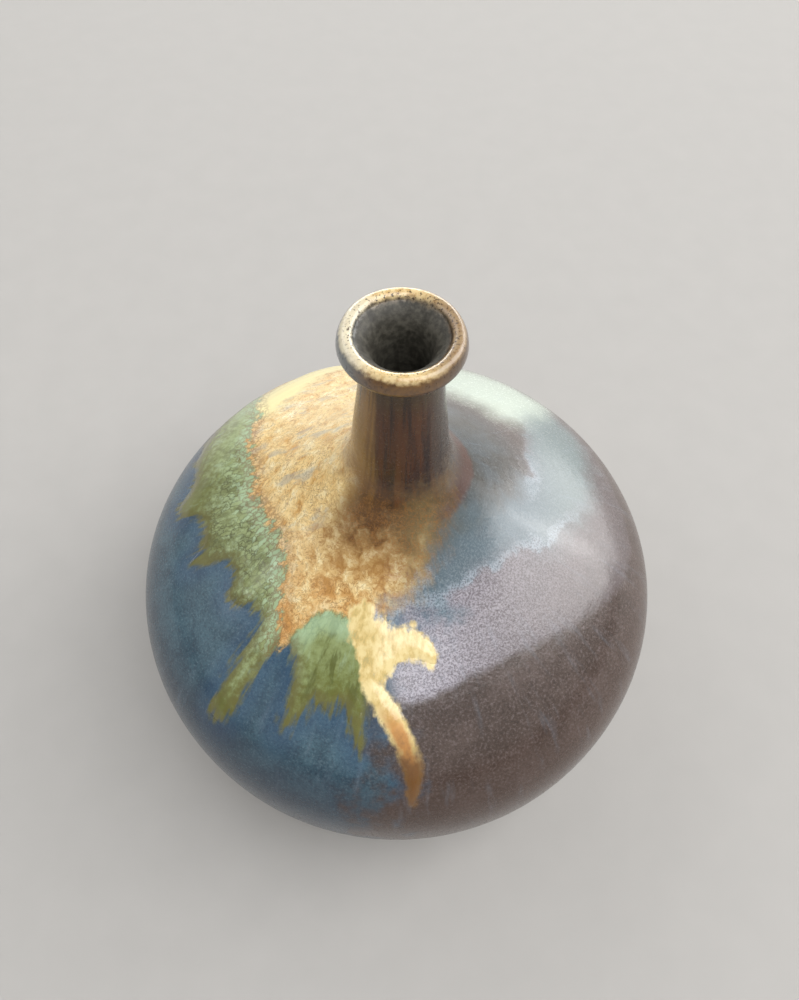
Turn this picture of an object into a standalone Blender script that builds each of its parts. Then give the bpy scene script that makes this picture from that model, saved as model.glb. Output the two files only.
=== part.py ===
"""Ceramic bud vase: a squat round body on a trimmed foot, a slim neck and a rolled lip.

The clay is made as five turned pieces that are luted together, and three glaze layers lie on it:
a coat over the outside, a coat down the inside, and a second glaze poured round the neck.
Metres, +Z up. The turning axis is Z, and the foot stands on z = 0.
"""

import math

import bmesh
import bpy
from mathutils import Vector
from mathutils.geometry import interpolate_bezier

# Driving dimensions
BODY_RADIUS = 0.060
EQUATOR_HEIGHT = 0.036
COLLAR_RADIUS = 0.01405
COLLAR_HEIGHT = 0.08446
SHOULDER_SLOPE = math.radians(46.9)
SHOULDER_REACH = 0.0291
NECK_FOOT_RADIUS = 0.0092
NECK_FOOT_HEIGHT = 0.0945
NECK_TOP_RADIUS = 0.0070
NECK_TOP_HEIGHT = 0.1182
LIP_OUTER_RADIUS = 0.01075
LIP_MIDDLE_HEIGHT = 0.1210
LIP_TOP_HEIGHT = 0.1237
LIP_TOP_RADIUS = 0.0092
MOUTH_RADIUS = 0.0079
MOUTH_HEIGHT = 0.1227
FUNNEL_RADIUS = 0.0050
BORE_RADIUS = 0.0043
BORE_TOP_HEIGHT = 0.1080
BORE_END_HEIGHT = 0.0930
FOOT_OUTER_RADIUS = 0.0325
FOOT_INNER_RADIUS = 0.0255
FOOT_HEIGHT = 0.0047
FOOT_EDGE = 0.0013
FLOOR_UNDERSIDE = 0.0033
BOWL_END_RADIUS = 0.0330
BOWL_END_HEIGHT = 0.0042

# Layers, from the outside in
GAP = 0.0003
OUTER_GLAZE = 0.0005
LINER_GLAZE = 0.0004
POURED_GLAZE = 0.0004
BODY_WALL = 0.0052
BARE_BAND = 0.0035

# The stretches of the wall, from the top down
WALL = ("neck", "collar", "shoulder", "bowl")

STEPS = 36
CURVE_RESOLUTION = 3
WELD = 0.00001

# Where the poured glaze lies in plan, in millimetres from the axis: the front is -Y. The list goes
# round from the right of the neck, behind it, and back along the lobes and runs at the front.
POUR_OUTLINE_MM = (
    (8, -13), (6, 0), (0, 14), (-3, 28), (-8, 44), (-20, 52), (-34, 44), (-44, 33), (-48, 20),
    (-47, 11), (-50, 5), (-44, 0), (-41, -7), (-44, -11), (-37, -12), (-34, -19), (-28, -24),
    (-31, -32), (-37, -39), (-34, -42), (-27, -35), (-21.5, -31), (-20, -38), (-22.5, -44.5),
    (-16, -41), (-10, -41), (-7, -48), (-5, -39), (-1, -45), (2.5, -52), (4, -56), (5.5, -51),
    (2, -43), (-2, -37), (3, -33.5), (8.5, -33), (3, -29), (-2, -27), (5, -20),
)

COLOURS = {
    "bare_clay": ((0.48, 0.34, 0.24), 0.85),
    "base_glaze": ((0.19, 0.20, 0.25), 0.35),
    "poured_glaze": ((0.60, 0.40, 0.18), 0.30),
    "liner_glaze": ((0.16, 0.16, 0.17), 0.40),
    "rim_glaze": ((0.62, 0.56, 0.44), 0.35),
}


def clear_scene():
    for obj in list(bpy.data.objects):
        bpy.data.objects.remove(obj, do_unlink=True)


def new_collection(name):
    collection = bpy.data.collections.new(name)
    bpy.context.scene.collection.children.link(collection)
    return collection


def material(name):
    colour, roughness = COLOURS[name]
    made = bpy.data.materials.get(name)
    if made is None:
        made = bpy.data.materials.new(name)
        made.use_nodes = True
        shader = made.node_tree.nodes["Principled BSDF"]
        shader.inputs["Base Color"].default_value = (*colour, 1)
        shader.inputs["Roughness"].default_value = roughness
        shader.inputs["Metallic"].default_value = 0
        made.diffuse_color = (*colour, 1)
    return made


def curve(start, start_handle, end_handle, end, points):
    """Points on one Bezier stretch of a profile, as (radius, height), from start to end."""
    corners = [Vector((*corner, 0)) for corner in (start, start_handle, end_handle, end)]
    return [point.to_2d() for point in interpolate_bezier(*corners, points)]


def offset(profile, distance):
    """The profile moved inwards: to the right of its own direction, which runs down the outside."""
    moved = []
    for i, point in enumerate(profile):
        before = profile[max(i - 1, 0)]
        after = profile[min(i + 1, len(profile) - 1)]
        along = (after - before).normalized()
        moved.append(point + Vector((along.y, -along.x)) * distance)
    return moved


def trimmed(profile, start=0.0, end=0.0):
    """The profile with its ends cut back along it by these lengths."""
    points = list(profile)
    for length in (start, end):
        while length > (points[1] - points[0]).length:
            length -= (points[1] - points[0]).length
            points.pop(0)
        points[0] = points[0] + (points[1] - points[0]).normalized() * length
        points.reverse()
    return points


def outer_profile():
    """The visible outside, as the stretches neck, collar, shoulder and bowl, each top to bottom."""
    slope = Vector((math.cos(SHOULDER_SLOPE), -math.sin(SHOULDER_SLOPE)))
    root = Vector((COLLAR_RADIUS, COLLAR_HEIGHT))
    equator = Vector((BODY_RADIUS, EQUATOR_HEIGHT))
    neck_top = Vector((NECK_TOP_RADIUS, NECK_TOP_HEIGHT))
    neck_foot = Vector((NECK_FOOT_RADIUS, NECK_FOOT_HEIGHT))
    bowl_end = Vector((BOWL_END_RADIUS, BOWL_END_HEIGHT))
    neck = curve(
        neck_top, neck_top + Vector((0.0003, -0.008)), neck_foot + Vector((-0.0006, 0.008)),
        neck_foot, 4,
    )
    collar = curve(
        neck_foot, neck_foot + Vector((0.0005, -0.005)), root - slope * 0.004, root, 5
    )
    shoulder = curve(
        root, root + slope * SHOULDER_REACH, equator + Vector((0, 0.0267)), equator, 10
    )
    bowl = curve(
        equator, equator + Vector((0, -0.0204)), bowl_end + Vector((0.018, 0.0038)), bowl_end, 8
    )
    return {"neck": neck, "collar": collar, "shoulder": shoulder, "bowl": bowl}


def inner_profile(outer):
    """The visible inside, by stretches as in outer_profile; floor ends on the axis."""
    body = offset(outer["shoulder"] + outer["bowl"][1:], BODY_WALL)
    shoulder = body[: len(outer["shoulder"])]
    bowl = body[len(outer["shoulder"]) - 1 :]
    bore_top = Vector((BORE_RADIUS, BORE_TOP_HEIGHT))
    bore_end = Vector((BORE_RADIUS, BORE_END_HEIGHT))
    funnel_end = Vector((FUNNEL_RADIUS, NECK_TOP_HEIGHT))
    neck = [funnel_end, bore_top, bore_end]
    into_body = (shoulder[0] - shoulder[1]).normalized() * 0.005
    collar = curve(
        bore_end, bore_end + Vector((0, -0.005)), shoulder[0] + into_body, shoulder[0], 4
    )
    floor = [bowl[-1], Vector((0, bowl[-1].y + 0.0002))]
    return {"neck": neck, "collar": collar, "shoulder": shoulder, "bowl": bowl, "floor": floor}


def joined(profile, order):
    """The stretches of a profile as one list, without the points that they share."""
    points = []
    for name in order:
        points += profile[name][1 if points else 0 :]
    return points


def layer(profile, order, distance):
    """Every stretch of a profile moved inwards together, so that the stretches still meet."""
    whole = offset(joined(profile, order), distance)
    moved = {}
    start = 0
    for name in order:
        end = start + len(profile[name])
        moved[name] = whole[start:end]
        start = end - 1
    return moved


def turned(name, profile, closed, slot, collection):
    """A solid turned about Z from a profile that runs down its outer side."""
    mesh = bpy.data.meshes.new(name)
    points = [(point.x, 0, point.y) for point in profile]
    edges = [(i, i + 1) for i in range(len(points) - 1)]
    if closed:
        edges.append((len(points) - 1, 0))
    mesh.from_pydata(points, edges, [])
    obj = bpy.data.objects.new(name, mesh)
    collection.objects.link(obj)
    screw = obj.modifiers.new("Turn", "SCREW")
    screw.axis = "Z"
    screw.angle = math.tau
    screw.steps = STEPS
    screw.render_steps = STEPS
    screw.use_merge_vertices = True
    screw.merge_threshold = WELD
    screw.use_smooth_shade = True
    mesh.materials.append(material(slot))
    return obj


def ring(name, outside, inside, slot, collection):
    """A turned ring between two profiles that both run top to bottom."""
    return turned(name, outside + inside[::-1], True, slot, collection)


def make_foot_ring(collection):
    outer = curve(
        (FOOT_OUTER_RADIUS, FOOT_EDGE), (FOOT_OUTER_RADIUS, FOOT_EDGE / 2),
        (FOOT_OUTER_RADIUS - FOOT_EDGE / 2, 0), (FOOT_OUTER_RADIUS - FOOT_EDGE, 0), 4,
    )
    inner = curve(
        (FOOT_INNER_RADIUS, FOOT_EDGE), (FOOT_INNER_RADIUS, FOOT_EDGE / 2),
        (FOOT_INNER_RADIUS + FOOT_EDGE / 2, 0), (FOOT_INNER_RADIUS + FOOT_EDGE, 0), 4,
    )
    outside = [Vector((FOOT_OUTER_RADIUS, FOOT_HEIGHT))] + outer
    inside = [Vector((FOOT_INNER_RADIUS, FOOT_HEIGHT))] + inner
    ring("foot_ring", outside, inside, "bare_clay", collection)


def make_lower_bowl(outside, inside, collection):
    """The lower half of the body with its floor, down to the recess inside the foot ring."""
    seat = FOOT_HEIGHT + GAP
    wall = trimmed(outside["bowl"], GAP / 2)
    lining = trimmed(joined(inside, ("bowl", "floor")), GAP / 2)
    under = [
        Vector((BOWL_END_RADIUS, seat)),
        Vector((FOOT_INNER_RADIUS - GAP, seat)),
        Vector((FOOT_INNER_RADIUS - GAP, FLOOR_UNDERSIDE)),
        Vector((0, FLOOR_UNDERSIDE)),
    ]
    wall = [point for point in wall if point.y > seat + GAP]
    turned("lower_bowl", lining[::-1] + wall + under, False, "bare_clay", collection)


def make_clay_ring(name, stretch, outside, inside, collection):
    """The part of the clay wall along one stretch, a hair short of its neighbours at both ends."""
    ring(
        name,
        trimmed(outside[stretch], GAP / 2, GAP / 2),
        trimmed(inside[stretch], GAP / 2, GAP / 2),
        "bare_clay",
        collection,
    )


def make_rim_lip(collection):
    """The rolled lip: out under its edge, over the top, and in down the funnel of the mouth."""
    foot = NECK_TOP_HEIGHT + GAP
    middle = Vector((LIP_OUTER_RADIUS, LIP_MIDDLE_HEIGHT))
    top = Vector((LIP_TOP_RADIUS, LIP_TOP_HEIGHT))
    mouth = Vector((MOUTH_RADIUS, MOUTH_HEIGHT))
    over = curve(top, top + Vector((0.001, 0)), middle + Vector((0, 0.0013)), middle, 5)
    under = curve(
        middle, middle + Vector((0, -0.0014)), Vector((NECK_TOP_RADIUS + 0.0013, foot)),
        Vector((NECK_TOP_RADIUS, foot)), 5,
    )
    funnel = curve(
        mouth, mouth + Vector((-0.0013, -0.0011)), Vector((FUNNEL_RADIUS + 0.0003, foot + 0.0017)),
        Vector((FUNNEL_RADIUS, foot)), 5,
    )
    brim = curve(mouth, mouth + Vector((0.0001, 0.0006)), top - Vector((0.0007, 0)), top, 4)
    outside = over + under[1:]
    ring("rim_lip", outside, brim[::-1] + funnel[1:], "rim_glaze", collection)


def make_outer_glaze(outer, collection):
    coat = trimmed(joined(outer, WALL), start=GAP, end=BARE_BAND)
    ring("outer_glaze", coat, offset(coat, OUTER_GLAZE), "base_glaze", collection)


def make_liner_glaze(inner, collection):
    """A coat with an open top and a closed floor; its clay side is the outer side."""
    coat = trimmed(joined(inner, (*WALL, "floor")), start=GAP)
    back = offset(coat, -LINER_GLAZE)
    back[-1].x = 0
    turned("liner_glaze", coat[::-1] + back, False, "liner_glaze", collection)


def pour_outline(collection):
    """The pour's outline as a flat filled curve, as tall as the vase when extruded."""
    data = bpy.data.curves.new("pour_outline", "CURVE")
    data.dimensions = "2D"
    data.fill_mode = "BOTH"
    data.resolution_u = CURVE_RESOLUTION
    data.extrude = LIP_TOP_HEIGHT / 2
    spline = data.splines.new("BEZIER")
    spline.bezier_points.add(len(POUR_OUTLINE_MM) - 1)
    for knot, (x, y) in zip(spline.bezier_points, POUR_OUTLINE_MM, strict=True):
        knot.co = (x / 1000, y / 1000, 0)
        knot.handle_left_type = "AUTO"
        knot.handle_right_type = "AUTO"
    spline.use_cyclic_u = True
    outline = bpy.data.objects.new("pour_outline", data)
    collection.objects.link(outline)
    outline.location.z = LIP_TOP_HEIGHT / 2
    return outline


def make_pour_cutter(collection):
    """An upright prism on the pour's outline, made a closed mesh for the Boolean."""
    outline = pour_outline(collection)
    bpy.context.view_layer.update()
    graph = bpy.context.evaluated_depsgraph_get()
    mesh = bpy.data.meshes.new_from_object(outline.evaluated_get(graph))
    welder = bmesh.new()
    welder.from_mesh(mesh)
    bmesh.ops.remove_doubles(welder, verts=welder.verts, dist=WELD)
    bmesh.ops.recalc_face_normals(welder, faces=welder.faces)
    welder.to_mesh(mesh)
    welder.free()
    prism = bpy.data.objects.new("pour_prism", mesh)
    prism.matrix_world = outline.matrix_world
    bpy.data.objects.remove(outline)
    collection.objects.link(prism)
    prism.hide_render = True
    prism.display_type = "WIRE"
    return prism


def make_poured_glaze(outer, parts, cutters):
    """A thin skin over the shoulder, kept only where the second glaze was poured."""
    skin = offset(trimmed(outer["shoulder"], start=GAP), -GAP)
    poured = ring("poured_glaze", offset(skin, -POURED_GLAZE), skin, "poured_glaze", parts)
    cut = poured.modifiers.new("Pour outline", "BOOLEAN")
    cut.operation = "INTERSECT"
    cut.solver = "EXACT"
    cut.object = make_pour_cutter(cutters)


def main():
    clear_scene()
    parts = new_collection("ceramic_bud_vase")
    cutters = new_collection("cutters")
    outer = outer_profile()
    inner = inner_profile(outer)
    clay_outside = layer(outer, WALL, OUTER_GLAZE + GAP)
    clay_inside = layer(inner, (*WALL, "floor"), -(LINER_GLAZE + GAP))
    clay_inside["floor"][-1].x = 0
    make_foot_ring(parts)
    make_lower_bowl(clay_outside, clay_inside, parts)
    make_clay_ring("shoulder", "shoulder", clay_outside, clay_inside, parts)
    make_clay_ring("neck_collar", "collar", clay_outside, clay_inside, parts)
    make_clay_ring("neck", "neck", clay_outside, clay_inside, parts)
    make_rim_lip(parts)
    make_outer_glaze(outer, parts)
    make_liner_glaze(inner, parts)
    make_poured_glaze(outer, parts, cutters)


main()
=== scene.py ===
"""Looks of the ceramic bud vase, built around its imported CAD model.

The outside is one fine turned coat of satin glaze, and the poured glaze is a raised run on top of it.
Where each colour lies is worked out in a flattened plan of the vase: the distance from the axis,
which past the widest line goes on as the distance down the wall, and the angle round the axis.
The front is -Y. Plan sizes are in millimetres, and everything that Blender gets is in metres.
"""

import math

import bmesh
import bpy
import numpy as np
from mathutils import Matrix, Vector
from mathutils.geometry import interpolate_bezier


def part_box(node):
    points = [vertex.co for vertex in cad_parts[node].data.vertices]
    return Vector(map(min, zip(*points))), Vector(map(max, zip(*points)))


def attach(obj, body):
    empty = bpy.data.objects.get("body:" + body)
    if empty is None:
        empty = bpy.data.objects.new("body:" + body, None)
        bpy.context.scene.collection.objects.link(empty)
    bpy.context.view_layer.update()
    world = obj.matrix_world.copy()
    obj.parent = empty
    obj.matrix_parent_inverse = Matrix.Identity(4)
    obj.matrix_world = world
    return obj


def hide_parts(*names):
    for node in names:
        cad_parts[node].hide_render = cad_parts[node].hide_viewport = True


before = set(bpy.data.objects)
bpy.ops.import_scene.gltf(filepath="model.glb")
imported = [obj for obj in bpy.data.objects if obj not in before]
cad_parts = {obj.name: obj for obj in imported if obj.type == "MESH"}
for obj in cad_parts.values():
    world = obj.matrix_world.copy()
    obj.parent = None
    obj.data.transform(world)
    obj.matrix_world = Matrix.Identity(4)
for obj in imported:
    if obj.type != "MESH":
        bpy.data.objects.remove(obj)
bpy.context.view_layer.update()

MM = 0.001
GAP = 0.0003
SHOWN_GAP = 0.00028
OUTER_GLAZE = 0.0005
LINER_GLAZE = 0.0004
BARE_BAND = 0.0035

# Sizes read from the frame
BODY_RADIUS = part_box("outer_glaze")[1][0]
EQUATOR_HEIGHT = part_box("shoulder")[0][2] - GAP / 2
LIP_OUTER_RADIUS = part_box("rim_lip")[1][0]
LIP_TOP_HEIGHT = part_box("rim_lip")[1][2]
NECK_TOP_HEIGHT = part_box("rim_lip")[0][2] - GAP
FOOT_OUTER_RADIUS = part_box("foot_ring")[1][0]
FOOT_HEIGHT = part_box("foot_ring")[1][2]

# Sizes inside that box
COLLAR_RADIUS = 0.01405
COLLAR_HEIGHT = 0.08446
SHOULDER_SLOPE = math.radians(46.9)
SHOULDER_REACH = 0.0291
NECK_FOOT_RADIUS = 0.0092
NECK_FOOT_HEIGHT = 0.0945
NECK_TOP_RADIUS = 0.0070
LIP_MIDDLE_HEIGHT = 0.1210
LIP_TOP_RADIUS = 0.0092
MOUTH_RADIUS = 0.0079
MOUTH_HEIGHT = 0.1227
FUNNEL_RADIUS = 0.0050
BORE_RADIUS = 0.0043
BORE_TOP_HEIGHT = 0.1080
BORE_END_HEIGHT = 0.0930
FOOT_INNER_RADIUS = 0.0255
FOOT_EDGE = 0.0013
FLOOR_UNDERSIDE = 0.0033
BOWL_END_RADIUS = 0.0330
BOWL_END_HEIGHT = 0.0042
BODY_WALL = 0.0052

# How fine the meshes are
COAT_STEPS = 400
COAT_SPACING = 0.00105
POUR_CELL_MM = 0.42
LIP_STEPS = 320
CLAY_STEPS = 180

# How thick the poured glaze stands
POUR_HEIGHT_MM = 0.30
POUR_ROUNDING_MM = 2.2
POUR_SINK_MM = 0.03
POUR_BACK_MM = 0.25
POUR_MARGIN_MM = 0.5
POUR_TAIL_MM = 9
POUR_ROOT_MM = 0.15

# The poured glaze in plan. The list goes round from the right of the neck, behind it, and back
# along the lobes and runs at the front.
POUR_OUTLINE = (
    (8.5, -12), (7, 0), (0, 14), (-3, 28), (-8, 44), (-20, 52), (-34, 44), (-44, 33), (-48, 20),
    (-47, 11), (-50, 5), (-48, 2), (-43, -1), (-41.5, -7), (-44.5, -11), (-37.5, -11.8), (-34, -14),
    (-34, -20), (-30, -23), (-27, -24.5), (-29, -29), (-33, -33.5), (-37.5, -39), (-34.8, -42),
    (-31, -39.5), (-26.5, -33.5), (-22.5, -30.5), (-20.3, -32), (-20, -38), (-22.8, -44.8), (-17.5, -42.5),
    (-15, -40.6), (-12.5, -42.6), (-10, -41), (-8.6, -44), (-7, -48.5), (-5.5, -45.5), (-4.2, -42.5),
    (-1.2, -45.5), (2.2, -52), (3.5, -57), (5.8, -54), (5.2, -49.5), (3.4, -46), (1.6, -42.5),
    (-2.4, -38), (-0.6, -35.6), (3, -33.6), (7.6, -34.2), (8.4, -32.4), (6, -30.4), (3, -28.6),
    (0, -28.8), (-3.2, -26.4), (-2.6, -24), (1.5, -22.4), (5.4, -18.6),
)
# The tan pool round the neck
TAN_OUTLINE = (
    (10, -5), (9, -12), (7, -18), (3, -23.6), (-2, -25.6), (-6, -27), (-9.5, -27), (-13, -25.6),
    (-16.5, -26.2), (-19.5, -28.5), (-23, -30), (-22.4, -25), (-22, -18), (-23, -12), (-25.5, -8), (-28, -3),
    (-31, 2), (-31, 8), (-33.4, 15), (-34, 22), (-33.4, 28), (-35, 36), (-32, 44), (-20.5, 50.5), (-8, 46.5),
    (-3, 36), (0, 24), (4, 14), (8, 4),
)
# The cream splash with its run
CREAM_OUTLINE = (
    (-9, -25.5), (-5.5, -24.6), (-3.5, -26.8), (0, -28.6), (3, -28.4), (6, -30.2), (8.6, -32.6),
    (7.2, -34.6), (3, -33.6), (-0.4, -35.6), (-2.4, -38), (0.4, -41), (2.6, -44.5), (4.6, -48),
    (5.8, -52), (5.4, -55.5), (3.6, -57), (2.4, -53), (0.6, -49), (-1.4, -45.6), (-3.8, -42),
    (-6, -38), (-7.4, -33), (-8.8, -28.8),
)
# The blue part of the base glaze
BLUE_OUTLINE = (
    (-58, 30), (-48, 34), (-40, 20), (-30, 0), (-14, -18), (-4, -22), (6, -23), (5, -27),
    (0, -34), (-2, -42), (-3, -52), (-6, -62), (-12, -78), (-40, -72), (-66, -44), (-76, -10),
    (-72, 20),
)
# The pale halo on the right
PALE_OUTLINE = (
    (10, 36), (20, 32), (27, 27), (29, 14), (26, 2), (20, -6), (11, -14), (4, -20.5), (-2, -24.6),
    (-4, -26.2), (-1, -27), (5, -25), (14, -20), (24, -13), (33, -6), (40, 3), (43.5, 14),
    (42, 26), (36, 36), (24, 44), (12, 46),
)
# The painted reflection of a window: a lighter lilac band outside the halo
PAINTED_REFLECTION_OUTLINE = (
    (-1, -37.5), (2, -41.3), (10, -38.5), (20, -33), (30, -27.5), (40, -20.5), (49, -11), (52.5, 0),
    (51, 12), (47, 24), (40, 35), (30, 38), (28, 20), (26, 2), (19, -7), (10, -15), (3, -21), (-3, -28),
)
# The thick white and cream rims of the glazes behind the neck, partly their own colour and partly a painted window
# highlight
WHITE_AND_HIGHLIGHT_OUTLINE = (
    (5, 38), (10, 35.5), (14, 32.5), (20, 29.5), (25, 27.5), (28.5, 31), (33.5, 37), (31, 40.5),
    (24, 44.5), (16, 47), (6, 48), (3, 44),
)
GOLD_AND_HIGHLIGHT_OUTLINE = (
    (-42, 36), (-38.5, 31.5), (-34, 27.5), (-30.5, 27.5), (-27.5, 31), (-24, 36.5), (-19, 42.5),
    (-12, 46), (-5, 47.5), (-5, 51.5), (-14, 52.5), (-22, 49.5), (-29, 43), (-35, 39),
)

CAMERA_PLACE = (0, -0.092298, 0.224232)
CAMERA_PAN = math.radians(0.1062)
CAMERA_PITCH = math.radians(58.7044)
CAMERA_ROLL = math.radians(1.4326)
CAMERA_LENS = 30.6

# The studio: a round cove, and lights whose places are given from just above the shoulder
COVE_RADIUS = 7.0
COVE_SWEEP = 1.6
COVE_WALL = 5.5
WALL_GLOW = 0.35
LIGHT_CENTRE = Vector((0.015, -0.02, 0.075))
LIGHT_DISTANCE = 3.5

# The glassy skin over the satin body of the glaze
COAT_WEIGHT = 0.8
THIN_COAT_WEIGHT = 0.1
COAT_ROUGHNESS = 0.1
COAT_IOR = 1.55


def profile_curve(start, start_handle, end_handle, end, points=40):
    """Points on one Bezier stretch of a profile, as rows of radius and height."""
    corners = [Vector((corner[0], corner[1], 0)) for corner in (start, start_handle, end_handle, end)]
    return np.array([point[:2] for point in interpolate_bezier(*corners, points)])


def joined(*stretches):
    """Stretches that meet end to end as one profile, without doubled points."""
    return np.concatenate([stretches[0]] + [stretch[1:] for stretch in stretches[1:]])


def lengths_along(profile):
    steps = np.hypot(*np.diff(profile, axis=0).T)
    return np.concatenate([[0], np.cumsum(steps)])


def resampled(profile, spacing):
    """The same profile with points at an even spacing."""
    along = lengths_along(profile)
    count = max(int(round(along[-1] / spacing)), 1) + 1
    places = np.linspace(0, along[-1], count)
    return np.stack([np.interp(places, along, profile[:, i]) for i in (0, 1)], axis=1)


def outward(profile):
    """Unit normals to the left of a profile that runs down the outside."""
    along = np.gradient(profile, axis=0)
    along /= np.hypot(*along.T)[:, None]
    return np.stack([-along[:, 1], along[:, 0]], axis=1)


def outer_profile():
    """The whole outside of the body, from under the lip down to the bare band over the foot."""
    slope = np.array((math.cos(SHOULDER_SLOPE), -math.sin(SHOULDER_SLOPE)))
    neck_top = np.array((NECK_TOP_RADIUS, NECK_TOP_HEIGHT))
    neck_foot = np.array((NECK_FOOT_RADIUS, NECK_FOOT_HEIGHT))
    root = np.array((COLLAR_RADIUS, COLLAR_HEIGHT))
    equator = np.array((BODY_RADIUS, EQUATOR_HEIGHT))
    bowl_end = np.array((BOWL_END_RADIUS, BOWL_END_HEIGHT))
    neck = profile_curve(neck_top, neck_top + (0.0003, -0.008), neck_foot + (-0.0006, 0.008), neck_foot)
    collar = profile_curve(neck_foot, neck_foot + (0.0005, -0.005), root - slope * 0.004, root)
    shoulder = profile_curve(root, root + slope * SHOULDER_REACH, equator + (0, 0.0267), equator, 90)
    bowl = profile_curve(equator, equator + (0, -0.0204), bowl_end + (0.018, 0.0038), bowl_end, 90)
    under_lip = np.array([neck_top + (0, SHOWN_GAP), neck_top])
    return joined(under_lip, neck, collar, shoulder, bowl)


OUTSIDE = resampled(outer_profile(), 0.0001)
OUTSIDE_LENGTHS = lengths_along(OUTSIDE)
OUTSIDE_NORMALS = outward(OUTSIDE)
EQUATOR_LENGTH = OUTSIDE_LENGTHS[np.argmin(abs(OUTSIDE[:, 1] - EQUATOR_HEIGHT))]


def wobble(angle, length):
    """How far the hand-thrown wall stays inside the true turned shape, in metres."""
    slow = np.sin(2 * angle + 0.7 + length * 31) + 0.6 * np.sin(3 * angle - length * 53)
    rings = 0.16 * np.sin(length * 2100 + 0.9 * np.sin(angle + 1))
    fade = np.clip(length / 0.03, 0, 1)
    return -0.00005 * (1.8 - slow - rings) * fade


def on_outside(angle, length, height=0.0):
    """Points on the outside at these angles and lengths down the profile, raised by a height."""
    radius, level = (np.interp(length, OUTSIDE_LENGTHS, OUTSIDE[:, i]) for i in (0, 1))
    lean, rise = (np.interp(length, OUTSIDE_LENGTHS, OUTSIDE_NORMALS[:, i]) for i in (0, 1))
    lift = wobble(angle, length) + height
    radius = radius + lean * lift
    return np.stack([radius * np.cos(angle), radius * np.sin(angle), level + rise * lift], axis=-1)


def plan_radius(length):
    """The flattened plan's radius in millimetres, at a length down the profile."""
    radius = np.interp(length, OUTSIDE_LENGTHS, OUTSIDE[:, 0])
    return np.where(length < EQUATOR_LENGTH, radius, BODY_RADIUS + length - EQUATOR_LENGTH) / MM


def smooth_loop(points, spans=6):
    """A closed Catmull-Rom curve through listed points."""
    knots = np.array(points, float)
    before, after, last = np.roll(knots, 1, 0), np.roll(knots, -1, 0), np.roll(knots, -2, 0)
    made = []
    for t in np.arange(spans) / spans:
        made.append(0.5 * (
            2 * knots + (after - before) * t
            + (2 * before - 5 * knots + 4 * after - last) * t * t
            + (3 * knots - before - 3 * after + last) * t ** 3
        ))
    return np.stack(made, axis=1).reshape(-1, 2)


def signed_distance(places, outline):
    """Millimetres from each plan place to a smooth outline: positive inside it."""
    loop = smooth_loop(outline)
    ends = np.roll(loop, -1, 0)
    spans = ends - loop
    found = np.empty(len(places))
    for start in range(0, len(places), 4000):
        away = places[start:start + 4000, None] - loop[None]
        share = np.clip((away * spans).sum(2) / (spans ** 2).sum(1), 0, 1)
        gaps = np.hypot(*np.moveaxis(away - share[..., None] * spans, 2, 0)).min(1)
        x, y = places[start:start + 4000, None].transpose(2, 0, 1)
        crosses = (loop[:, 1] > y) != (ends[:, 1] > y)
        rise = np.where(spans[:, 1] == 0, 1, spans[:, 1])
        left = x < loop[:, 0] + (y - loop[:, 1]) * spans[:, 0] / rise
        within = (crosses & left).sum(1) % 2 == 1
        found[start:start + 4000] = np.where(within, gaps, -gaps)
    return found


def set_attribute(mesh, name, values):
    kind = "FLOAT_VECTOR" if values.ndim == 2 else "FLOAT"
    made = mesh.attributes.new(name, kind, "POINT")
    made.data.foreach_set("vector" if values.ndim == 2 else "value", values.astype(np.float32).ravel())


def zone_attributes(mesh, angle, length, height):
    """Everything that the glaze materials read: where each point lies in the glaze's layout."""
    radius = plan_radius(length)
    places = np.stack([radius * np.cos(angle), radius * np.sin(angle)], axis=1)
    set_attribute(mesh, "pour_mm", signed_distance(places, POUR_OUTLINE))
    set_attribute(mesh, "tan_mm", signed_distance(places, TAN_OUTLINE))
    set_attribute(mesh, "cream_mm", signed_distance(places, CREAM_OUTLINE))
    set_attribute(mesh, "blue_mm", signed_distance(places, BLUE_OUTLINE))
    set_attribute(mesh, "pale_mm", signed_distance(places, PALE_OUTLINE))
    set_attribute(mesh, "painted_reflection_mm", signed_distance(places, PAINTED_REFLECTION_OUTLINE))
    set_attribute(mesh, "white_and_highlight_mm", signed_distance(places, WHITE_AND_HIGHLIGHT_OUTLINE))
    set_attribute(mesh, "gold_and_highlight_mm", signed_distance(places, GOLD_AND_HIGHLIGHT_OUTLINE))
    set_attribute(mesh, "plan_radius", radius)
    set_attribute(mesh, "plan", np.concatenate([places, np.zeros((len(places), 1))], axis=1))
    set_attribute(mesh, "level_mm", height / MM)
    down = length / MM
    flow = np.stack([30 * np.cos(angle), 30 * np.sin(angle), down], axis=1)
    set_attribute(mesh, "flow", flow)
    set_attribute(mesh, "around", np.stack([np.cos(angle), np.sin(angle), np.zeros_like(angle)], axis=1))


def mesh_object(name, points, faces):
    mesh = bpy.data.meshes.new(name)
    mesh.from_pydata(points.tolist(), [], faces.tolist())
    mesh.validate()
    mesh.shade_smooth()
    obj = bpy.data.objects.new(name, mesh)
    bpy.context.scene.collection.objects.link(obj)
    return obj


def loop_faces(rows, steps, closed):
    """Quads of a tube of rows, each row a ring of steps, whose last row may join its first."""
    row = np.arange(rows if closed else rows - 1)[:, None]
    step = np.arange(steps)[None]
    below = (row + 1) % rows
    beside = (step + 1) % steps
    corners = [row * steps + step, below * steps + step, below * steps + beside, row * steps + beside]
    return np.stack([corner + 0 * step for corner in corners], axis=-1).reshape(-1, 4)


def turned_points(profile, steps):
    """The rings of a turned profile, ring by ring, and each point's angle."""
    angle = np.tile(np.arange(steps) / steps * math.tau, len(profile))
    radius = np.repeat(profile[:, 0], steps)
    points = np.stack([radius * np.cos(angle), radius * np.sin(angle), np.repeat(profile[:, 1], steps)], axis=1)
    return points, angle


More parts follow.
